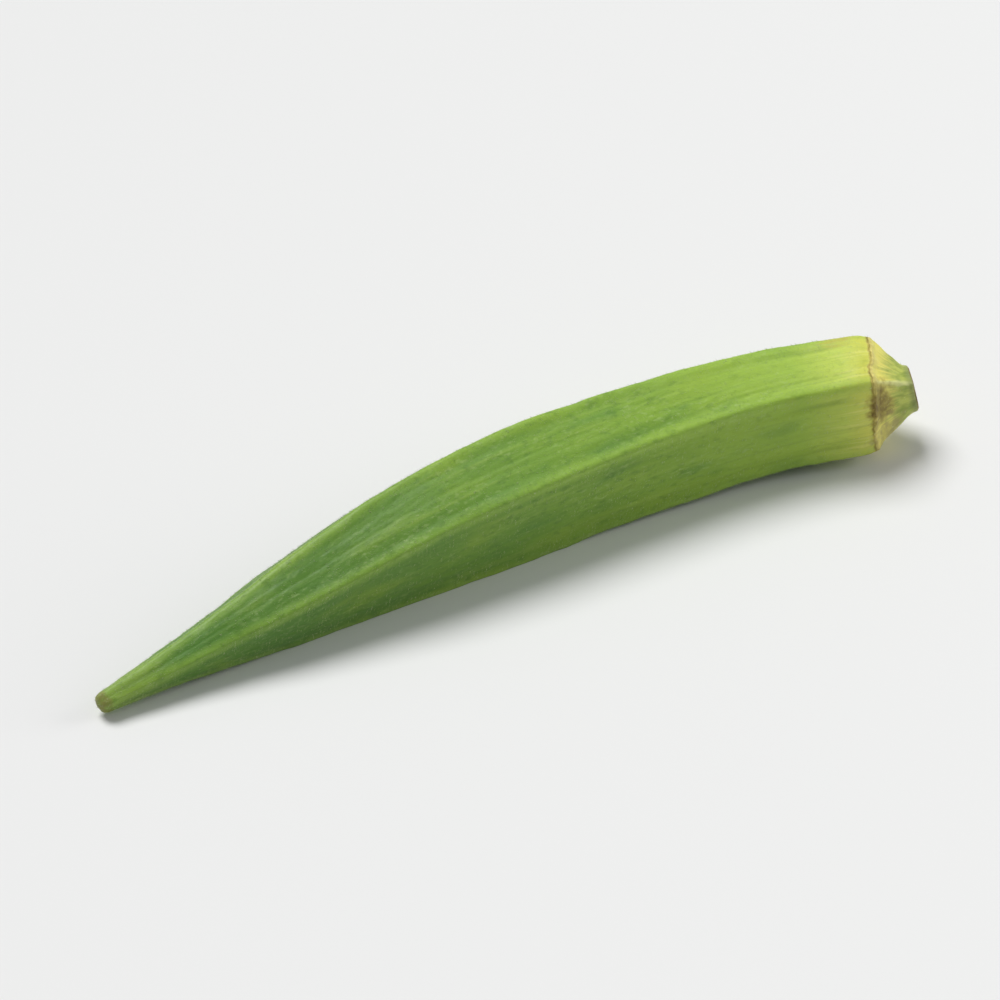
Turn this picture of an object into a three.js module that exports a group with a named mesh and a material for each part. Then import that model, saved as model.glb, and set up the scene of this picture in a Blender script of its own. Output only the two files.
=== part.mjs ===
// Okra pod, as picked: one five-ridged fruit lying on a table, from its cut stalk to its beak.
//
// Millimetres, +Z up. +X points towards the cut stalk and -X towards the beak. The origin is on the
// table, under the middle of the pod's bounding box.
//
// The pod starts as a round turned blank. Its rows run from the cut stalk over the cone of the cap,
// the scar ring where the calyx fell off, the barrel and the taper. Each row is then pressed into a
// rounded pentagon with a rib on every ridge, and threaded on a spine that bows sideways. The ring
// and the cut lie aslant on it.

import * as THREE from "three";
import { mergeVertices } from "three/addons/utils/BufferGeometryUtils.js";

// --- Driving dimensions ------------------------------------------------------------------------

// Axis to where two flat facets would meet, at the fullest part of the barrel.
const PENTAGON_RADIUS = 8.95;

// The pod's middle line from the cut stalk to the beak, in five equal stretches along X.
const SPINE = [
  [61, -0.6, 7.2],
  [36.6, 4.4, 7.2],
  [12.2, 5.7, 7.1],
  [-12.2, 4.8, 6.65],
  [-36.6, 2.6, 4.35],
  [-61.5, 0.2, 1.95],
];

// Under the cap the spine bends further: how far at the cut stalk, and over what share of its length.
const CAP_BEND = new THREE.Vector3(-0.6, -2.2, 0.6);
const CAP_BEND_REACH = 0.22;

// The five ridges, in degrees round the spine: 0 faces -Y, 90 is up and -90 faces the table.
// No two facets are quite alike. The widest two meet at the ridge that faces -Y and up.
const RIDGES = [-127, -53, 36, 106, 171];
const TWIST = 24;
const RIDGE_SHARPNESS = 18;

// How round a section is: 1 is a pentagon with flat facets and 0 a circle.
const PENTAGON_ON_STALK = 0.2;
const PENTAGON_ON_BARREL = 0.86;
const PENTAGON_AT_BEAK = 0.5;
const ROUND_SHARE = 0.92;

// The narrow rib that runs along each ridge.
const RIB_HEIGHT = 0.3;
const RIB_HALF_WIDTH = 0.9;

// How far the scar ring lies back towards the beak on one side, how much shorter the stalk is cut
// on one side, both as shares of the spine's length, and the angles of those sides.
const RING_SLANT = 0.02;
const RING_SLANT_SIDE = 0;
const CUT_SLANT = 0.008;
const CUT_SLANT_SIDE = 60;

// How deep the soft skin presses flat where it bears on the table.
const SETTLED = 0.15;

// --- Outline of the round blank ----------------------------------------------------------------
// Each point is [share of PENTAGON_RADIUS, share of the spine's length from the cut stalk].

const CUT_STALK = [[0, 0], [0.33, 0], [0.375, 0.002], [0.395, 0.007]];
const CAP_CONE = [[0.45, 0.0125], [0.56, 0.0205], [0.71, 0.029], [0.86, 0.0365]];
const SCAR_RING = [[0.855, 0.0395], [0.895, 0.0425], [0.92, 0.048]];
const BARREL = [[0.93, 0.055], [0.935, 0.24], [1, 0.33], [1, 0.46]];
const TAPER = [[1, 0.46], [1, 0.69], [0.37, 0.84], [0.18, 0.985]];
const BEAK_END = [[0.17, 0.993], [0.115, 0.9985], [0, 1]];

const CUT_END = 0.004;
const CONE_END = 0.038;
const CAP_END = 0.048;
const SLANT_END = 0.17;
const TAPER_START = 0.6;

// --- Fineness ----------------------------------------------------------------------------------

const COLUMNS_A_FACET = 14;
const BARREL_ROWS = 16;
const TAPER_ROWS = 28;
// Columns stand closer together towards the ridges: 0 spaces them evenly.
const CROWDING = 0.45;

// -----------------------------------------------------------------------------------------------

const { degToRad, lerp, smoothstep } = THREE.MathUtils;

const facets = RIDGES.map((ridge, i) => {
  const start = degToRad(ridge);
  const end = i + 1 < RIDGES.length ? degToRad(RIDGES[i + 1]) : degToRad(RIDGES[0] + 360);
  return { start, end, middle: (start + end) / 2, half: (end - start) / 2 };
});

function outline() {
  const toPoint = ([radius, along]) => new THREE.Vector2(radius, along);
  const bezier = (points, rows) => new THREE.CubicBezierCurve(...points.map(toPoint)).getPoints(rows);
  return [
    ...[...CUT_STALK, ...CAP_CONE, ...SCAR_RING].map(toPoint),
    ...bezier(BARREL, BARREL_ROWS),
    ...bezier(TAPER, TAPER_ROWS).slice(1),
    ...BEAK_END.map(toPoint),
  ];
}

// The angle of one of the blank's columns, before the twist.
function columnAngle(column) {
  const facet = facets[Math.floor(column / COLUMNS_A_FACET) % facets.length];
  const across = (column % COLUMNS_A_FACET) / COLUMNS_A_FACET;
  const crowded = across - (CROWDING / (2 * Math.PI)) * Math.sin(2 * Math.PI * across);
  return lerp(facet.start, facet.end, crowded);
}

// Axis to surface on a pentagon with rounded corners, as a share of its sharp corner radius.
function pentagon(angle) {
  let sum = 0;
  for (const facet of facets) {
    const reach = Math.cos(angle - facet.middle) / Math.cos(facet.half);
    sum += Math.max(0, reach) ** RIDGE_SHARPNESS;
  }
  return sum ** (-1 / RIDGE_SHARPNESS);
}

function pentagonStrength(along) {
  const fromStalk = lerp(PENTAGON_ON_STALK, PENTAGON_ON_BARREL, smoothstep(along, 0, CAP_END));
  return lerp(fromStalk, PENTAGON_AT_BEAK, smoothstep(along, TAPER_START, 1));
}

function rib(angle, radius) {
  const turns = facets.map((facet) => Math.abs(angle - facet.start));
  const nearest = Math.min(...turns.map((turn) => Math.min(turn, 2 * Math.PI - turn)));
  return RIB_HEIGHT * Math.exp(-(((nearest * radius) / RIB_HALF_WIDTH) ** 2));
}

class BentSpine extends THREE.CatmullRomCurve3 {
  getPoint(along, target) {
    const bend = Math.max(0, 1 - along / CAP_BEND_REACH) ** 2;
    return super.getPoint(along, target).addScaledVector(CAP_BEND, bend);
  }
}

const spine = new BentSpine(
  SPINE.map((point) => new THREE.Vector3(...point)),
  false,
  "catmullrom",
);

// How much further along the spine a point lies because the ring and the cut are aslant.
function slant(along, angle, share) {
  const reach = Math.min(1, share / CUT_STALK[1][0]);
  const lean = (degrees) => (1 + reach * Math.cos(angle - degToRad(degrees))) / 2;
  const nearRing = smoothstep(along, CUT_END, CONE_END) * (1 - smoothstep(along, CAP_END, SLANT_END));
  const nearCut = 1 - smoothstep(along, 0, CONE_END);
  return RING_SLANT * nearRing * lean(RING_SLANT_SIDE) + CUT_SLANT * nearCut * lean(CUT_SLANT_SIDE);
}

// The place of a point on the skin, with the section square to the spine and its side level.
function onSkin(along, angle, radius) {
  const centre = spine.getPoint(along);
  const towardsStalk = spine.getTangent(along).negate();
  const side = new THREE.Vector3(0, 0, 1).cross(towardsStalk).normalize();
  const up = towardsStalk.clone().cross(side);
  return centre
    .addScaledVector(side, -radius * Math.cos(angle))
    .addScaledVector(up, radius * Math.sin(angle));
}

function podGeometry() {
  const rows = outline();
  const pod = new THREE.LatheGeometry(rows, COLUMNS_A_FACET * facets.length);
  const position = pod.attributes.position;
  for (let i = 0; i < position.count; i++) {
    const { x: share, y: along } = rows[i % rows.length];
    const angle = columnAngle(Math.floor(i / rows.length));
    const section = lerp(ROUND_SHARE, pentagon(angle), pentagonStrength(along));
    const radius = share * (PENTAGON_RADIUS * section + rib(angle, share * PENTAGON_RADIUS));
    const slanted = along + slant(along, angle, share);
    const twisted = angle + degToRad(TWIST) * (0.5 - slanted);
    position.setXYZ(i, ...onSkin(slanted, twisted, radius));
  }
  settle(pod);
  pod.deleteAttribute("normal");
  pod.deleteAttribute("uv");
  const closed = mergeVertices(pod);
  closed.computeVertexNormals();
  return closed;
}

// Stands the pod on the table with its contact spot pressed flat, centred on the origin.
function settle(pod) {
  pod.computeBoundingBox();
  pod.translate(0, 0, -pod.boundingBox.min.z - SETTLED);
  const position = pod.attributes.position;
  for (let i = 0; i < position.count; i++) {
    position.setZ(i, Math.max(0, position.getZ(i)));
  }
  pod.computeBoundingBox();
  const middle = pod.boundingBox.getCenter(new THREE.Vector3());
  pod.translate(-middle.x, -middle.y, 0);
}

const skin = new THREE.MeshStandardMaterial({ color: "#7fa24b", roughness: 0.55, metalness: 0 });

const pod = new THREE.Mesh(podGeometry(), skin);
pod.name = "okra_pod";

const part = new THREE.Group();
part.add(pod);

export default part;
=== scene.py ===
"""A picked okra pod lying on a table: its ridged skin, and the short down that stands on it."""
import math
import random

import bmesh
import bpy
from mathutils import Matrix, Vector, geometry, noise


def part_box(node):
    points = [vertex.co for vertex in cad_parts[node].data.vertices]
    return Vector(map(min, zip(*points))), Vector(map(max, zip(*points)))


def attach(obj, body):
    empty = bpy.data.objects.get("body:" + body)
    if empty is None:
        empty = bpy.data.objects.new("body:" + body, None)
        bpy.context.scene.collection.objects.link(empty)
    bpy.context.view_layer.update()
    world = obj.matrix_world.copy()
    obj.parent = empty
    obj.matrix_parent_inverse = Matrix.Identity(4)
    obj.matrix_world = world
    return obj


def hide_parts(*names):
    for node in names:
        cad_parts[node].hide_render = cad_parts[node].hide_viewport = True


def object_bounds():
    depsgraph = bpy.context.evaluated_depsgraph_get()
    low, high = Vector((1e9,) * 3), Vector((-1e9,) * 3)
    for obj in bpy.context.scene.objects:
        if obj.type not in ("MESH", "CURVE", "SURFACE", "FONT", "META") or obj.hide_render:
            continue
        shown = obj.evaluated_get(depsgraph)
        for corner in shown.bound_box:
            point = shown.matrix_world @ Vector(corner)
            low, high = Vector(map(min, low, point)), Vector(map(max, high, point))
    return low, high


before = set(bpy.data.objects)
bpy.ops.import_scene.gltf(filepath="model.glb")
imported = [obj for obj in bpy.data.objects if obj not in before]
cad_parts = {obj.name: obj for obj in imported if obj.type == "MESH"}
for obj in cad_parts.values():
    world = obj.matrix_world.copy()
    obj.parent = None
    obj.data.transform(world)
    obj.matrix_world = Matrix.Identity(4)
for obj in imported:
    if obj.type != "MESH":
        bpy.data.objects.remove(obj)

cad_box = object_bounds()

# --- The skin -----------------------------------------------------------------------------------
# The whole pod, grown in one piece of plant flesh from its cut stalk to its beak. A round turned
# blank is pressed into a pentagon with a rib on each ridge, given its fine relief and threaded on a
# bowed spine, where the scar ring of the fallen calyx and the cut lie aslant.

MM = 0.001

# The middle line from the cut stalk to the beak, and how it bends further under the cap.
SPINE = [
    Vector(point) * MM
    for point in (
        (61, -0.6, 7.2),
        (36.6, 4.4, 7.2),
        (12.2, 5.7, 7.1),
        (-12.2, 4.8, 6.65),
        (-36.6, 2.6, 4.35),
        (-61.5, 0.2, 1.95),
    )
]
CAP_BEND = Vector((-0.6, -2.2, 0.6)) * MM
CAP_BEND_REACH = 0.22
LENGTH = SPINE[0].x - SPINE[-1].x

# Angles run round the spine: 0 faces -Y and a quarter turn up. A seam lies between two ridges.
RIDGES = [math.radians(degrees) for degrees in (-127, -53, 36, 106, 171)]
RIDGE_AFTER = [*RIDGES[1:], RIDGES[0] + math.tau]
SEAMS = [(start + end) / 2 for start, end in zip(RIDGES, RIDGE_AFTER)]
TWIST = math.radians(24)

# A section is a pentagon with rounded corners, from 1 with flat facets to 0, a circle.
PENTAGON_RADIUS = 8.95 * MM
RIDGE_SHARPNESS = 18
PENTAGON_ON_STALK = 0.2
PENTAGON_ON_BARREL = 0.86
PENTAGON_AT_BEAK = 0.5
ROUND_SHARE = 0.92
RIB_HEIGHT = 0.3 * MM
RIB_HALF_WIDTH = 0.9 * MM
RIB_NEAR_CAP = 0.3
RIB_GROWTH = (0.08, 0.42)

# How far the ring lies back, and how much shorter the stalk is cut, and at which angles.
RING_SLANT = 0.02
RING_SLANT_SIDE = 0
CUT_SLANT = 0.008
CUT_SLANT_SIDE = math.radians(60)

# The outline's points are (share of PENTAGON_RADIUS, share of the length from the cut stalk).
CUT_FACE_EDGE = (0.33, 0)
CAP = [
    CUT_FACE_EDGE, (0.375, 0.002), (0.395, 0.007), (0.45, 0.0125), (0.56, 0.0205), (0.71, 0.029),
    (0.85, 0.0362), (0.865, 0.0395), (0.892, 0.0425), (0.918, 0.048), (0.93, 0.055),
]
BARREL = [(0.93, 0.055), (0.935, 0.24), (1, 0.33), (1, 0.46)]
TAPER = [(1, 0.46), (1, 0.69), (0.37, 0.84), (0.18, 0.985)]
BEAK_END = [(0.18, 0.985), (0.17, 0.993), (0.115, 0.9985), (0, 1)]

# Where each stretch of the pod ends or starts, as a share of the length from the cut stalk.
CUT_END = 0.004
CONE_END = 0.038
RING_AT = 0.0395
CAP_END = 0.048
SLANT_END = 0.17
TAPER_START = 0.6

# Columns of faces stand closer together towards the ridges: 0 crowding spaces them evenly.
COLUMNS = 300
CROWDING = 0.3
CUT_FACE_ROWS = 7
CAP_STEPS = 5
BARREL_ROWS = 100
TAPER_ROWS = 122
BEAK_STEPS = 3

# Fine relief: how far each feature stands out or sinks, over what length and width, and between
# which shares of the length it sets in or fades. ALL_ALONG is the length of a pattern that stays
# the same along the pod. A growth says how many times faster than the radius relief sets in.
ALL_ALONG = 1
BARREL_RELIEF_START = (CAP_END, CAP_END + 0.03)
RELIEF_GROWTH = 3
FLANK_GROOVE = 0.12 * MM
FLANK_AT = 2.0 * MM
FLANK_HALF_WIDTH = 0.7 * MM
FLANK_BREAK_SIZE = (24 * MM, 5 * MM)
FLANK_FADE = (0.4, 0.8)
SEAM_DEPTH = 0.05 * MM
SEAM_HALF_WIDTH = 0.3 * MM
VEIN_HEIGHT = 0.05 * MM
VEIN_SIZE = (24 * MM, 0.9 * MM)
VEIN_FADE = (0.5, 0.9)
SWELL_HEIGHT = 0.22 * MM
SWELL_SIZE = (9 * MM, 5 * MM)
PIMPLE_HEIGHT = 0.055 * MM
PIMPLE_SIZE = (1.3 * MM, 0.8 * MM)
RIB_BUMPS = 0.1 * MM
RIB_BUMP_SIZE = (3.5 * MM, 3 * MM)
CONE_RIB = 0.28 * MM
CONE_RIB_HALF_WIDTH = 0.5 * MM
CONE_RIB_BREAK_SIZE = (2 * MM, 3 * MM)
CONE_RIB_START = (0.008, 0.02)
CONE_HOLLOW = 0.25 * MM
CONE_HOLLOW_HALF_WIDTH = 1.6 * MM
CONE_RELIEF_START = (RING_AT, RING_AT - 0.008)
RING_WANDER = 0.45 * MM
RING_WANDER_REACH = 1.5 * MM
RING_WAVE_SIZE = (ALL_ALONG, 3.5 * MM)
RING_JAG_SIZE = (ALL_ALONG, 0.8 * MM)
RING_HEIGHT = 0.26 * MM
RING_HALF_WIDTH = 0.38 * MM
RING_TOOTH_SIZE = (ALL_ALONG, 1.1 * MM)
RING_CRUMB_SIZE = (ALL_ALONG, 0.5 * MM)
RING_GROOVE = 0.16 * MM
CUT_FACE_DISH = 0.35 * MM
CUT_FACE_DISH_RIM = 0.6
CUT_FACE_GRAIN = 0.12 * MM
CUT_FACE_GRAIN_SIZE = (ALL_ALONG, 0.35 * MM)
CUT_FACE_GRAIN_GROWTH = 3


def along_curve(points, share):
    """The point at a share of the way along a smooth curve, and the curve's pace there."""
    span = share * (len(points) - 1)
    i = min(int(span), len(points) - 2)
    f = span - i
    b, c = points[i], points[i + 1]
    a = points[i - 1] if i > 0 else 2 * b - c
    d = points[i + 2] if i + 2 < len(points) else 2 * c - b
    bend, rest = 2 * a - 5 * b + 4 * c - d, 3 * b - 3 * c + d - a
    point = 0.5 * (2 * b + (c - a) * f + bend * f**2 + rest * f**3)
    pace = 0.5 * ((c - a) + 2 * bend * f + 3 * rest * f**2)
    return point, pace * (len(points) - 1)


def on_spine(along):
    """The point of the pod's middle line at a share of its length, and its direction there."""
    point, pace = along_curve(SPINE, along)
    bend = max(0, 1 - along / CAP_BEND_REACH)
    point = point + CAP_BEND * bend**2
    pace = pace - CAP_BEND * (2 * bend / CAP_BEND_REACH)
    return point, pace.normalized()


def smoothstep(value, start, end):
    """0 up to the start and 1 past the end, with a smooth change between them."""
    share = min(1, max(0, (value - start) / (end - start)))
    return share * share * (3 - 2 * share)


def blend(first, second, share):
    return first + (second - first) * share


def hump(distance, half_width):
    return math.exp(-((distance / half_width) ** 2))


def blank_outline():
    """The outline from the middle of the cut face to the beak's end, as (radius, 0, along)."""
    def upright(point):
        return Vector((point[0], 0, point[1]))

    def through(points, steps):
        points = [upright(point) for point in points]
        count = steps * (len(points) - 1)
        return [along_curve(points, step / count)[0] for step in range(count + 1)]

    def bezier(points, rows):
        start, first, second, end = [upright(point) for point in points]
        return geometry.interpolate_bezier(start, first, second, end, rows)

    edge = upright(CUT_FACE_EDGE)
    cut_face = [edge * (row / CUT_FACE_ROWS) for row in range(CUT_FACE_ROWS)]
    return [
        *cut_face,
        *through(CAP, CAP_STEPS),
        *bezier(BARREL, BARREL_ROWS)[1:],
        *bezier(TAPER, TAPER_ROWS)[1:],
        *through(BEAK_END, BEAK_STEPS)[1:],
    ]


def facet_angle(turn):
    """The angle round the spine for a turn of the blank, which gives each facet a fifth of it."""
    position = turn / math.tau % 1 * len(RIDGES)
    i = int(position)
    across = position - i
    crowded = across - CROWDING / math.tau * math.sin(math.tau * across)
    return blend(RIDGES[i], RIDGE_AFTER[i], crowded)


def pentagon(angle):
    """Axis to surface on a pentagon with rounded corners, as a share of its sharp corner radius."""
    total = 0
    for start, end in zip(RIDGES, RIDGE_AFTER):
        reach = math.cos(angle - (start + end) / 2) / math.cos((end - start) / 2)
        total += max(0, reach) ** RIDGE_SHARPNESS
    return total ** (-1 / RIDGE_SHARPNESS)


def nearest(angle, marks):
    """The turn from an angle to the nearest of the marks."""
    turns = [abs(angle - mark) % math.tau for mark in marks]
    return min(min(turn, math.tau - turn) for turn in turns)


def pattern(place, size, seed):
    """Smooth noise from -1 to 1, with features of a length along the pod and a width round it."""
    return noise.noise(Vector((place.x / size[0] + seed, place.y / size[1], place.z / size[1])))


def relief(straight, lengthwise, gap, seam_gap, along):
    """How far the skin stands out from the plain form."""
    on_barrel = smoothstep(along, *BARREL_RELIEF_START)
    grooved = on_barrel * (1 - smoothstep(along, *FLANK_FADE))
    breaks = 0.7 + 0.6 * pattern(lengthwise, FLANK_BREAK_SIZE, seed=3)
    height = -FLANK_GROOVE * grooved * breaks * hump(gap - FLANK_AT, FLANK_HALF_WIDTH)
    height -= SEAM_DEPTH * on_barrel * hump(seam_gap, SEAM_HALF_WIDTH)
    veined = 1 - 0.6 * smoothstep(along, *VEIN_FADE)
    height += VEIN_HEIGHT * pattern(lengthwise, VEIN_SIZE, seed=11) * veined
    height += SWELL_HEIGHT * pattern(straight, SWELL_SIZE, seed=23) * on_barrel
    height += PIMPLE_HEIGHT * pattern(straight, PIMPLE_SIZE, seed=31)
    height += RIB_BUMPS * pattern(straight, RIB_BUMP_SIZE, seed=37) * hump(gap, RIB_HALF_WIDTH)

    on_cone = smoothstep(along, *CONE_RELIEF_START)
    cone_rib = CONE_RIB * hump(gap, CONE_RIB_HALF_WIDTH)
    cone_rib *= 0.7 + pattern(lengthwise, CONE_RIB_BREAK_SIZE, seed=67)
    height += on_cone * smoothstep(along, *CONE_RIB_START) * cone_rib
    height -= on_cone * CONE_HOLLOW * hump(seam_gap, CONE_HOLLOW_HALF_WIDTH)

    teeth = pattern(lengthwise, RING_TOOTH_SIZE, seed=43)
    crumbs = pattern(lengthwise, RING_CRUMB_SIZE, seed=47)
    ragged = 0.55 + 0.6 * teeth + 0.5 * crumbs
    past_ring = (along - RING_AT) * LENGTH
    height += RING_HEIGHT * max(0, ragged) * hump(past_ring, RING_HALF_WIDTH)
    height -= RING_GROOVE * hump(past_ring + 2 * RING_HALF_WIDTH, RING_HALF_WIDTH)
    return height


def slant(along, angle, share):
    """How much further along the spine a point lies because the ring and the cut are aslant."""
    reach = min(1, share / CUT_FACE_EDGE[0])
    ring_lean = (1 + reach * math.cos(angle - RING_SLANT_SIDE)) / 2
    cut_lean = (1 + reach * math.cos(angle - CUT_SLANT_SIDE)) / 2
    near_ring = smoothstep(along, CUT_END, CONE_END) * (1 - smoothstep(along, CAP_END, SLANT_END))
    near_cut = 1 - smoothstep(along, 0, CONE_END)
    return RING_SLANT * near_ring * ring_lean + CUT_SLANT * near_cut * cut_lean


def skin_place(along, angle, share):
    """A point of the skin, and where it lies for its patterns.

    The patterns take its place on the pod laid out straight, the same place with every section as
    wide as the barrel, so that lines draw together towards the beak, and its gap to a ridge.
    """
    plain = share * PENTAGON_RADIUS
    straight = Vector((along * LENGTH, plain * math.cos(angle), plain * math.sin(angle)))
    lengthwise = Vector((
        along * LENGTH, PENTAGON_RADIUS * math.cos(angle), PENTAGON_RADIUS * math.sin(angle),
    ))
    gap = plain * nearest(angle, RIDGES)
    seam_gap = plain * nearest(angle, SEAMS)
    strength = blend(PENTAGON_ON_STALK, PENTAGON_ON_BARREL, smoothstep(along, 0, CAP_END))
    strength = blend(strength, PENTAGON_AT_BEAK, smoothstep(along, TAPER_START, 1))
    radius = plain * blend(ROUND_SHARE, pentagon(angle), strength)
    rib = RIB_HEIGHT * blend(RIB_NEAR_CAP, 1, smoothstep(along, *RIB_GROWTH))
    radius += share * rib * hump(gap, RIB_HALF_WIDTH)
    if along > 0:
        grown = min(1, share * RELIEF_GROWTH)
        radius += grown * relief(straight, lengthwise, gap, seam_gap, along)

    near_ring = hump((along - RING_AT) * LENGTH, RING_WANDER_REACH)
    jags = 0.3 * pattern(lengthwise, RING_JAG_SIZE, seed=59)
    wander = pattern(lengthwise, RING_WAVE_SIZE, seed=57) + jags
    slanted = along + slant(along, angle, share)
    centre, from_stalk = on_spine(slanted + RING_WANDER / LENGTH * wander * near_ring)
    if along == 0:
        inside = 1 - share / CUT_FACE_EDGE[0]
        dish = CUT_FACE_DISH * smoothstep(inside, 0, CUT_FACE_DISH_RIM)
        grain = CUT_FACE_GRAIN * pattern(straight, CUT_FACE_GRAIN_SIZE, seed=71)
        grain *= min(1, CUT_FACE_GRAIN_GROWTH * inside)
        centre = centre + from_stalk * (dish + grain)
    side = Vector((0, 0, 1)).cross(-from_stalk).normalized()
    up = (-from_stalk).cross(side)
    twisted = angle + TWIST * (0.5 - slanted)
    place = centre - side * radius * math.cos(twisted) + up * radius * math.sin(twisted)
    return place, straight, lengthwise, gap


def make_skin():
    bm = bmesh.new()
    chain = [bm.verts.new(point) for point in blank_outline()]
    links = [bm.edges.new(pair) for pair in zip(chain, chain[1:])]
    bmesh.ops.spin(
        bm, geom=chain + links, cent=(0, 0, 0), axis=(0, 0, 1), dvec=(0, 0, 0),
        angle=math.tau, steps=COLUMNS, use_merge=True, use_normal_flip=False, use_duplicate=False,
    )
    bmesh.ops.remove_doubles(bm, verts=bm.verts, dist=1e-6)
    layers = bm.verts.layers
    straight_layer = layers.float_vector.new("straight")
    lengthwise_layer = layers.float_vector.new("lengthwise")
    gap_layer = layers.float.new("gap")
    for vert in bm.verts:
        share = math.hypot(vert.co.x, vert.co.y)
        angle = facet_angle(math.atan2(vert.co.y, vert.co.x))
        place, straight, lengthwise, gap = skin_place(vert.co.z, angle, share)
        vert.co = place
        vert[straight_layer] = straight
        vert[lengthwise_layer] = lengthwise
        vert[gap_layer] = gap
    return bm


def settle(bm):
    """Lays the pod where the frame's solid lies, pressed flat where it bears on the table."""
    low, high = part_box("okra_pod")
    reach = [[vert.co[axis] for vert in bm.verts] for axis in range(3)]
    step = Vector((
        (low.x + high.x - min(reach[0]) - max(reach[0])) / 2,
        (low.y + high.y - min(reach[1]) - max(reach[1])) / 2,
        high.z - max(reach[2]),
    ))
    bmesh.ops.translate(bm, vec=step, verts=bm.verts)
    for vert in bm.verts:
        vert.co.z = max(0, vert.co.z)


skin_mesh = make_skin()
settle(skin_mesh)
bmesh.ops.recalc_face_normals(skin_mesh, faces=skin_mesh.faces)
for face in skin_mesh.faces:
    face.smooth = True
skin = bpy.data.objects.new("skin", bpy.data.meshes.new("skin"))
skin_mesh.to_mesh(skin.data)
skin_mesh.free()
bpy.context.collection.objects.link(skin)


class Flow:
    """A value, vector or colour in a material's nodes, for use in plain expressions."""

    def __init__(self, tree, socket):
        self.tree = tree
        self.socket = socket

    def node(self, kind, sockets, output=0, stops=None, **settings):
        made = self.tree.nodes.new(kind)
        for name, value in settings.items():
            setattr(made, name, value)
        if stops:
            ramp = made.color_ramp
            while len(ramp.elements) < len(stops):
                ramp.elements.new(1)
            for element, (position, colour) in zip(ramp.elements, stops):
                element.position = position
                element.color = colour
        for name, value in sockets.items():
            if isinstance(value, Flow):
                self.tree.links.new(value.socket, made.inputs[name])
            else:
                made.inputs[name].default_value = value
        return Flow(self.tree, made.outputs[output])

    def maths(self, operation, *values):
        return self.node("ShaderNodeMath", dict(enumerate(values)), operation=operation)

    def __add__(self, other):
        return self.maths("ADD", self, other)

    def __radd__(self, other):
        return self.maths("ADD", other, self)

    def __sub__(self, other):
        return self.maths("SUBTRACT", self, other)

    def __rsub__(self, other):
        return self.maths("SUBTRACT", other, self)

    def __mul__(self, other):
        return self.maths("MULTIPLY", self, other)

    def __rmul__(self, other):
        return self.maths("MULTIPLY", other, self)

    def __truediv__(self, other):
        return self.maths("DIVIDE", self, other)

    def __abs__(self):
        return self.maths("ABSOLUTE", self)

    def rise(self, low, high):
        """A smooth rise from 0 at low to 1 at high, or a fall where low is above high."""
        if low > high:
            return 1 - self.rise(high, low)
        return self.node(
            "ShaderNodeMapRange", {"Value": self, "From Min": low, "From Max": high},
            interpolation_type="SMOOTHSTEP",
        )

    def stretched(self, length, width):
        """A place in steps of length along the pod and of width round it."""
        steps = (1 / length, 1 / width, 1 / width)
        return self.node("ShaderNodeVectorMath", {0: self, 1: steps}, operation="MULTIPLY")

    def grain(self, length, width, detail=2, seed=0):
        """Noise about 0.5, with features that are length long on the pod and width wide."""
        sockets = {"Vector": self.stretched(length, width), "W": seed, "Scale": 1, "Detail": detail}
        return self.node("ShaderNodeTexNoise", sockets, noise_dimensions="4D")

    def dots(self, length, width, seed):
        """Distance from the nearest of many scattered points, as a share of their spacing."""
        sockets = {"Vector": self.stretched(length, width), "W": seed, "Scale": 1}
        return self.node("ShaderNodeTexVoronoi", sockets, voronoi_dimensions="4D")

    def spot(self, place, length, width):
        """0 at a place and 1 at length along the pod or width round it from there."""
        centre = (place[0] / length, place[1] / width, place[2] / width)
        sockets = {0: self.stretched(length, width), 1: centre}
        return self.node("ShaderNodeVectorMath", sockets, output="Value", operation="DISTANCE")

    def tinted(self, colour, share):
        """This colour, with a share of another mixed in."""
        return share.between(self, colour)

    def between(self, first, second):
        """The first colour where this share is 0, and the second where it is 1."""
        sockets = {0: self, 6: first, 7: second}
        return self.node("ShaderNodeMix", sockets, output=2, data_type="RGBA")

    def ramp(self, stops):
        """The colour for this value on a ramp of (value, levels of red, green and blue)."""
        stops = [(value, paint(*levels)) for value, levels in stops]
        return self.node("ShaderNodeValToRGB", {0: self}, stops=stops)


def paint(red, green, blue):
    """A colour of 0 to 255 as linear light."""
    def linear(level):
        level /= 255
        return level / 12.92 if level <= 0.04045 else ((level + 0.055) / 1.055) ** 2.4

    return linear(red), linear(green), linear(blue), 1


def start_material(name):
    """A new material, and the flow that its nodes are added from."""
    material = bpy.data.materials.new(name)
    material.use_nodes = True
    return material, Flow(material.node_tree, None)


def on_blank(along, degrees, share):
    """A place on the pod laid out straight."""
    radius = share * PENTAGON_RADIUS
    angle = math.radians(degrees)
    return along * LENGTH, radius * math.cos(angle), radius * math.sin(angle)


# Colours as levels of red, green and blue from 0 to 255. The greens go by the share of the length
# and those of the cut face by the share of its radius.
SKIN_GREENS = [
    (0.042, (216, 216, 92)),
    (0.075, (194, 212, 86)),
    (0.14, (158, 190, 66)),
    (0.30, (132, 168, 52)),
    (0.52, (108, 148, 46)),
    (0.74, (90, 132, 44)),
    (0.90, (86, 130, 40)),
    (0.975, (108, 138, 52)),
]
CUT_FACE_COLOURS = [
    (0.06, (176, 164, 112)),
    (0.26, (212, 210, 160)),
    (0.48, (200, 198, 140)),
    (0.62, (182, 172, 108)),
    (0.74, (180, 182, 108)),
    (0.90, (164, 166, 96)),
    (1.0, (140, 122, 74)),
]

# The marks near the ring: where each lies on the blank, and its half length and half width.
SCUFF_AT, SCUFF_SIZE = (0.075, 104, 0.94), (2.6 * MM, 1.3 * MM)
STAIN_AT, STAIN_SIZE = (0.033, 6, 0.8), (1.7 * MM, 3.6 * MM)
DRIED_AT, DRIED_SIZE = (0.028, -42, 0.7), (2.6 * MM, 2.8 * MM)


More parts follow.
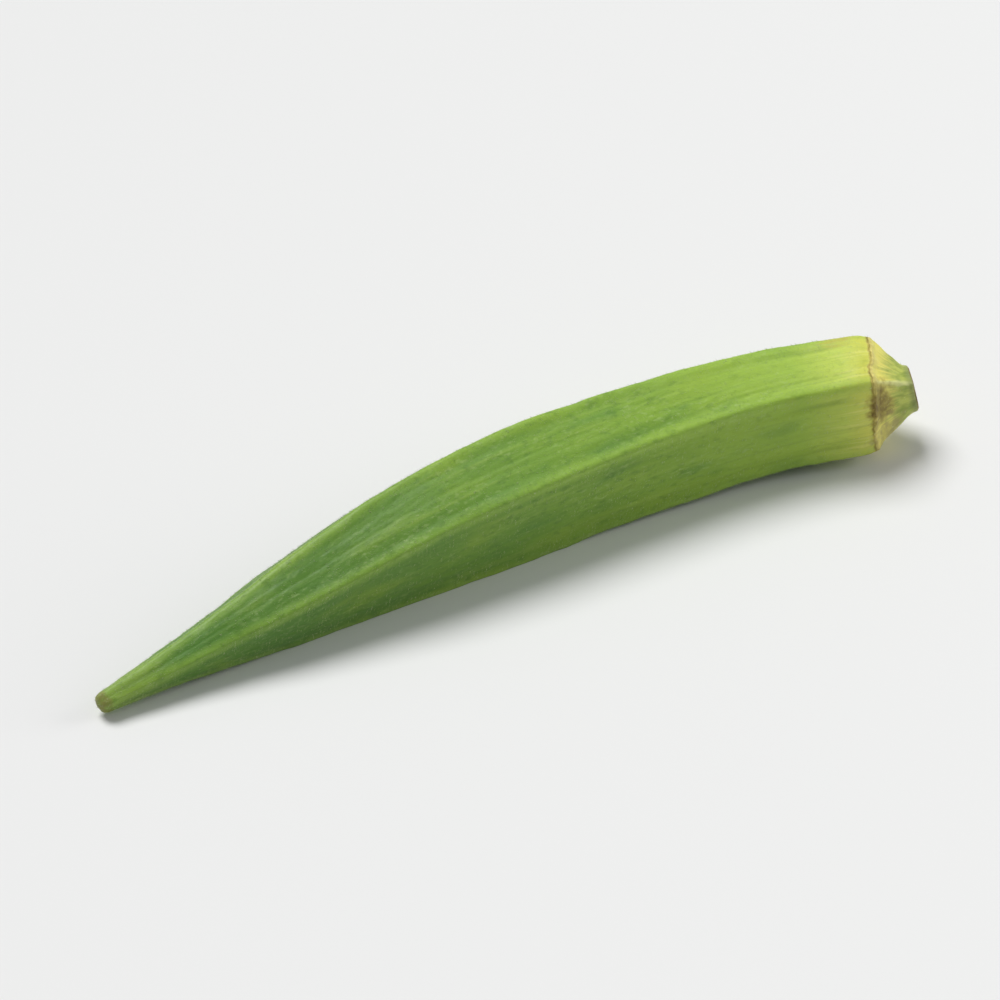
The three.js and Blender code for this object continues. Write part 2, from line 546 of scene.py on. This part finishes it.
def make_skin_material():
    material, start = start_material("okra_skin")
    straight = start.node("ShaderNodeAttribute", {}, output="Vector", attribute_name="straight")
    lengthwise = start.node("ShaderNodeAttribute", {}, output="Vector", attribute_name="lengthwise")
    gap = start.node("ShaderNodeAttribute", {}, output="Fac", attribute_name="gap")
    along = start.node("ShaderNodeSeparateXYZ", {0: straight}, output="X") / LENGTH

    # The green runs from yellow at the cap to deep green at the beak.
    colour = along.ramp(SKIN_GREENS)
    patches = straight.grain(13 * MM, 4.5 * MM, seed=1)
    colour = colour.tinted(paint(76, 126, 50), patches.rise(0.5, 0.74) * 0.45)
    colour = colour.tinted(paint(154, 182, 54), patches.rise(0.5, 0.26) * 0.35)

    # Fine light and dark streaks draw together towards the beak and fade there.
    fading = 1 - along.rise(0.45, 0.85) * 0.6
    streaks = lengthwise.grain(26 * MM, 0.8 * MM, detail=5, seed=2)
    colour = colour.tinted(paint(176, 202, 96), streaks.rise(0.5, 0.78) * fading * 0.26)
    colour = colour.tinted(paint(66, 106, 34), streaks.rise(0.5, 0.24) * fading * 0.22)
    cap_streaks = lengthwise.grain(9 * MM, 0.5 * MM, detail=3, seed=15).rise(0.5, 0.66)
    colour = colour.tinted(paint(226, 228, 128), cap_streaks * along.rise(0.12, 0.05) * 0.5)

    # The ridge crests are paler, and a broken line of painted shade lies in the groove beside them.
    crest = gap.rise(1.5 * MM, 0.3 * MM)
    colour = colour.tinted(paint(160, 196, 76), crest * 0.4)
    groove_shade = abs(gap - FLANK_AT).rise(0.8 * MM, 0.1 * MM)
    broken = lengthwise.grain(26 * MM, 3 * MM, seed=3).rise(0.42, 0.64)
    grooved = along.rise(0.055, 0.09) * along.rise(0.7, 0.4)
    colour = colour.tinted(paint(74, 116, 34), groove_shade * broken * grooved * 0.32)

    # Whitish flecks, part down roots and part painted glints, and a few dark pin pricks.
    flecks_and_glints = straight.grain(0.9 * MM, 0.5 * MM, detail=3, seed=4).rise(0.5, 0.72)
    flecked_and_glinting = straight.grain(11 * MM, 3.5 * MM, detail=3, seed=5).rise(0.4, 0.62)
    colour = colour.tinted(paint(180, 204, 130), flecks_and_glints * (0.25 + flecked_and_glinting * 0.75) * 0.3)
    mottles = straight.grain(1.6 * MM, 0.9 * MM, detail=3, seed=13).rise(0.48, 0.3)
    mottled = 0.35 + along.rise(0.06, 0.4) * 0.65
    colour = colour.tinted(paint(66, 108, 30), mottles * mottled * 0.36)
    pits = straight.dots(5 * MM, 3 * MM, seed=6).rise(0.085, 0.045)
    colour = colour.tinted(paint(64, 84, 30), pits * 0.75)

    # Rubbed crests near the cap turn ochre, one of them most.
    rubbed = straight.grain(3 * MM, 1.2 * MM, detail=4, seed=7)
    scuffs = rubbed.rise(0.54, 0.68) * crest * along.rise(0.2, 0.06)
    scuff_streaks = straight.grain(4 * MM, 0.35 * MM, detail=3, seed=19)
    long_scuff = straight.spot(on_blank(*SCUFF_AT), *SCUFF_SIZE) + scuff_streaks * 2.6
    colour = colour.tinted(paint(188, 164, 70), scuffs * 0.35)
    colour = colour.tinted(paint(198, 174, 76), long_scuff.rise(2.7, 1.2) * 0.6)

    # The cone is olive between its pale edges, and cream where it meets the ring.
    cone = along.rise(RING_AT + 0.001, RING_AT - 0.002)
    cone_green = straight.grain(3 * MM, 1.3 * MM, seed=8).rise(0.35, 0.65)
    cone_colour = cone_green.between(paint(146, 164, 66), paint(190, 200, 92))
    cone_lines = lengthwise.grain(8 * MM, 0.6 * MM, detail=4, seed=17)
    cone_colour = cone_colour.tinted(paint(112, 132, 50), cone_lines.rise(0.5, 0.7) * 0.45)
    cream = (along + (cone_lines - 0.5) * 0.03).rise(0.014, 0.032)
    cone_colour = cone_colour.tinted(paint(240, 230, 112), cream * 0.9)
    cone_edge = (gap + (rubbed - 0.5) * 1.2 * MM).rise(0.45 * MM, 0.05 * MM)
    cone_colour = cone_colour.tinted(paint(228, 226, 156), cone_edge * 0.55)
    collar = along.rise(0.011, 0.003)
    cone_colour = cone_colour.tinted(paint(138, 146, 96), collar * 0.6)
    colour = colour.tinted(cone_colour, cone)

    # The scar ring is a ragged corky line, paler towards the cone. Under one ridge the cone beside
    # it is stained brown.
    ragged = lengthwise.grain(60 * MM, 0.7 * MM, detail=4, seed=9) - 0.5
    past_ring = along - RING_AT + ragged * 0.004
    worn = lengthwise.grain(60 * MM, 3 * MM, detail=3, seed=14)
    ring = (abs(past_ring) + (worn - 0.5) * 0.006).rise(0.0045, 0.0012)
    cork = straight.grain(0.4 * MM, 1.5 * MM, detail=4, seed=10).rise(0.35, 0.65)
    ring_colour = cork.between(paint(126, 106, 40), paint(190, 168, 82))
    ring_colour = ring_colour.tinted(paint(234, 220, 132), past_ring.rise(0.0012, -0.0008) * 0.75)
    colour = colour.tinted(ring_colour, ring * 0.85)
    blotchy = straight.grain(1.3 * MM, 1.1 * MM, detail=5, seed=16)
    stain = straight.spot(on_blank(*STAIN_AT), *STAIN_SIZE) + (blotchy - 0.5) * 1.8
    colour = colour.tinted(paint(158, 142, 58), stain.rise(1.35, 0.8) * 0.7)
    colour = colour.tinted(paint(100, 76, 18), stain.rise(1.0, 0.45) * (0.5 + cork * 0.4))
    dried = straight.spot(on_blank(*DRIED_AT), *DRIED_SIZE) + (blotchy - 0.5) * 2.4
    colour = colour.tinted(paint(160, 148, 92), dried.rise(1.3, 0.3) * (0.35 + cork * 0.4))

    # The cut face is a pale pith in a ring of wood fibre, green outside that and dried brown at
    # the rim. The beak ends in a dry tip.
    cut = along.rise(0.0022, 0.0006)
    from_pith = straight.spot((0, 0, 0), 1, CUT_FACE_EDGE[0] * PENTAGON_RADIUS)
    rays = lengthwise.grain(1, 1.1 * MM, detail=3, seed=11)
    pores = straight.grain(1, 0.3 * MM, detail=3, seed=18)
    uneven = from_pith + (rays - 0.5) * 0.3 + (blotchy - 0.5) * 0.35
    cut_colour = uneven.ramp(CUT_FACE_COLOURS)
    cut_colour = cut_colour.tinted(paint(120, 104, 58), pores.rise(0.52, 0.7) * 0.4)
    colour = colour.tinted(cut_colour, cut)
    tip = (along + (blotchy - 0.5) * 0.04).rise(0.984, 1.002)
    colour = colour.tinted(paint(128, 122, 62), tip * 0.8)

    rough = 0.52 + (streaks - 0.5) * 0.25 - crest * 0.05
    rough = rough + ring * 0.2 + cut * 0.3 + tip * 0.2

    down_roots = straight.grain(0.36 * MM, 0.3 * MM, detail=2, seed=12)
    height = down_roots * 0.6 + streaks * fading * 0.6 + ring * cork * 1.2 + cut * pores
    bump = height.node("ShaderNodeBump", {"Height": height, "Strength": 0.6, "Distance": 0.1 * MM})

    shader = material.node_tree.nodes["Principled BSDF"]
    shader.subsurface_method = "BURLEY"
    shader.inputs["Subsurface Weight"].default_value = 0.12
    shader.inputs["Subsurface Radius"].default_value = (0.9, 1.0, 0.3)
    shader.inputs["Subsurface Scale"].default_value = 1.2 * MM
    shader.inputs["Specular IOR Level"].default_value = 0.4
    shader.inputs["Sheen Weight"].default_value = 0.08
    shader.inputs["Sheen Roughness"].default_value = 0.4
    for name, flow in (("Base Color", colour), ("Roughness", rough), ("Normal", bump)):
        material.node_tree.links.new(flow.socket, shader.inputs[name])
    return material


skin.data.materials.append(make_skin_material())
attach(skin, "root")
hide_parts("okra_pod")

# --- The down -----------------------------------------------------------------------------------
# The short stiff hairs all over the pod, plant fibre like the skin that they grow from. They are
# closest on the ridges, and lean towards the beak.

HAIR_DOUBLINGS = 14
HAIR_LENGTH = (0.22 * MM, 0.5 * MM)
HAIR_THICKNESS = (0.03 * MM, 0.045 * MM)
HAIR_LEAN = (35, 70)
HAIR_SPREAD = 0.35
HAIR_ROOT = 0.04 * MM
BARE_HEIGHT = 0.4 * MM
FULL_DOWN_FROM = 0.1
RIDGE_DOWN_HALF_WIDTH = 1.6 * MM


def hair_chance(corners):
    """How likely a hair is to stand on the patch of skin between some corners."""
    first, second, third = [skin.data.vertices[corner].co for corner in corners[:3]]
    along = skin.data.attributes["straight"].data[corners[0]].vector.x / LENGTH
    gap = skin.data.attributes["gap"].data[corners[0]].value
    if along == 0 or first.z < BARE_HEIGHT:
        return 0
    area = (second - first).cross(third - first).length
    past_cap = 0.3 + 0.7 * smoothstep(along, RING_AT, FULL_DOWN_FROM)
    return area * past_cap * (0.6 + hump(gap, RIDGE_DOWN_HALF_WIDTH))


def make_down():
    bm = bmesh.new()
    bmesh.ops.create_cone(bm, cap_ends=True, segments=3, radius1=0.5, radius2=0, depth=1)
    bmesh.ops.translate(bm, vec=(0, 0, 0.5), verts=bm.verts)
    for _ in range(HAIR_DOUBLINGS):
        bmesh.ops.duplicate(bm, geom=bm.verts[:] + bm.edges[:] + bm.faces[:])
    tips = [vert for vert in bm.verts if vert.co.z > 0.5]

    drawn = random.Random(11)
    # The spin lists its faces in a new order each run, so they are sorted by their corners.
    patches = sorted((sorted(face.vertices), face.normal.copy()) for face in skin.data.polygons)
    chances = [hair_chance(corners) for corners, _ in patches]
    for tip, patch in zip(tips, drawn.choices(patches, chances, k=len(tips))):
        corners, normal = patch
        shares = [drawn.random() for _ in corners]
        root = sum(
            (skin.data.vertices[corner].co * share for corner, share in zip(corners, shares)),
            Vector(),
        )
        root = root / sum(shares) - normal * HAIR_ROOT
        beakwards = Vector((-1, drawn.gauss(0, HAIR_SPREAD), drawn.gauss(0, HAIR_SPREAD)))
        beakwards = (beakwards - normal * beakwards.dot(normal)).normalized()
        lean = math.radians(drawn.uniform(*HAIR_LEAN))
        direction = normal * math.cos(lean) + beakwards * math.sin(lean)
        thickness = drawn.uniform(*HAIR_THICKNESS)
        length = drawn.uniform(*HAIR_LENGTH)
        turn = direction.to_track_quat("Z", "Y")
        hair = [tip, *(edge.other_vert(tip) for edge in tip.link_edges)]
        for vert in hair:
            shape = Vector((vert.co.x * thickness, vert.co.y * thickness, vert.co.z * length))
            vert.co = root + turn @ shape
            vert.co.z = max(0, vert.co.z)
    return bm


down_mesh = make_down()
bmesh.ops.recalc_face_normals(down_mesh, faces=down_mesh.faces)
down = bpy.data.objects.new("down", bpy.data.meshes.new("down"))
down_mesh.to_mesh(down.data)
down_mesh.free()
bpy.context.collection.objects.link(down)


def make_down_material():
    material, start = start_material("okra_down")
    place = start.node("ShaderNodeTexCoord", {}, output="Object")
    shade = place.grain(2 * MM, 2 * MM, seed=1).rise(0.35, 0.65)
    colour = shade.between(paint(150, 178, 96), paint(214, 222, 176))
    shader = material.node_tree.nodes["Principled BSDF"]
    shader.inputs["Roughness"].default_value = 0.45
    material.node_tree.links.new(colour.socket, shader.inputs["Base Color"])
    return material


down.data.materials.append(make_down_material())
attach(down, "root")

# --- The table, the light and the camera ----------------------------------------------------------
# A plain pale table top, broad light from above and behind, and a weak lamp on the cap's end.
# The camera looks down on the pod from the beak's side.

TABLE_SIZE = 30
TABLE_COLOUR = (0.78, 0.78, 0.77, 1)
SUN_FROM = Vector((-0.12, 0.45, 0.88))
SUN_STRENGTH = 2.7
SUN_SPREAD = math.radians(35)
LAMP_PLACE = Vector((0.85, -0.3, 0.35))
LAMP_SIZE = 0.6
LAMP_WATTS = 2.8
SKY_COLOUR = (0.9, 0.92, 0.95, 1)
SKY_STRENGTH = 0.26
VIEW_AZIMUTH = math.radians(-32)
VIEW_ELEVATION = math.radians(35)
VIEW_DISTANCE = 0.757
FRAMED_WIDTH = 0.1285


def make_table():
    bm = bmesh.new()
    bmesh.ops.create_grid(bm, x_segments=1, y_segments=1, size=TABLE_SIZE / 2)
    table = bpy.data.objects.new("table_top", bpy.data.meshes.new("table_top"))
    bm.to_mesh(table.data)
    bm.free()
    bpy.context.collection.objects.link(table)
    material = bpy.data.materials.new("table_paint")
    material.use_nodes = True
    shader = material.node_tree.nodes["Principled BSDF"]
    shader.inputs["Base Color"].default_value = TABLE_COLOUR
    shader.inputs["Roughness"].default_value = 0.7
    table.data.materials.append(material)


def make_sun():
    """Broad light like a bright window's, from above and behind."""
    sun = bpy.data.lights.new("window", "SUN")
    sun.energy = SUN_STRENGTH
    sun.angle = SUN_SPREAD
    light = bpy.data.objects.new("window", sun)
    light.rotation_euler = SUN_FROM.to_track_quat("Z", "Y").to_euler()
    bpy.context.collection.objects.link(light)


def make_lamp(target):
    """A weak soft light on the cap's end."""
    lamp = bpy.data.lights.new("lamp", "AREA")
    lamp.shape = "DISK"
    lamp.size = LAMP_SIZE
    lamp.energy = LAMP_WATTS
    light = bpy.data.objects.new("lamp", lamp)
    light.location = LAMP_PLACE
    light.rotation_euler = (LAMP_PLACE - target).to_track_quat("Z", "Y").to_euler()
    bpy.context.collection.objects.link(light)


def make_camera(target):
    away = Vector((
        math.sin(VIEW_AZIMUTH) * math.cos(VIEW_ELEVATION),
        -math.cos(VIEW_AZIMUTH) * math.cos(VIEW_ELEVATION),
        math.sin(VIEW_ELEVATION),
    ))
    camera = bpy.data.objects.new("camera", bpy.data.cameras.new("camera"))
    camera.data.lens = camera.data.sensor_width * VIEW_DISTANCE / FRAMED_WIDTH
    camera.data.clip_start = 0.01
    camera.location = target + away * VIEW_DISTANCE
    camera.rotation_euler = away.to_track_quat("Z", "Y").to_euler()
    bpy.context.collection.objects.link(camera)
    bpy.context.scene.camera = camera


pod_middle = (cad_box[0] + cad_box[1]) / 2
make_table()
make_sun()
make_lamp(pod_middle)
make_camera(pod_middle)

world = bpy.data.worlds.new("studio")
world.use_nodes = True
sky = world.node_tree.nodes["Background"]
sky.inputs["Color"].default_value = SKY_COLOUR
sky.inputs["Strength"].default_value = SKY_STRENGTH
bpy.context.scene.world = world
bpy.context.scene.view_settings.view_transform = "Standard"
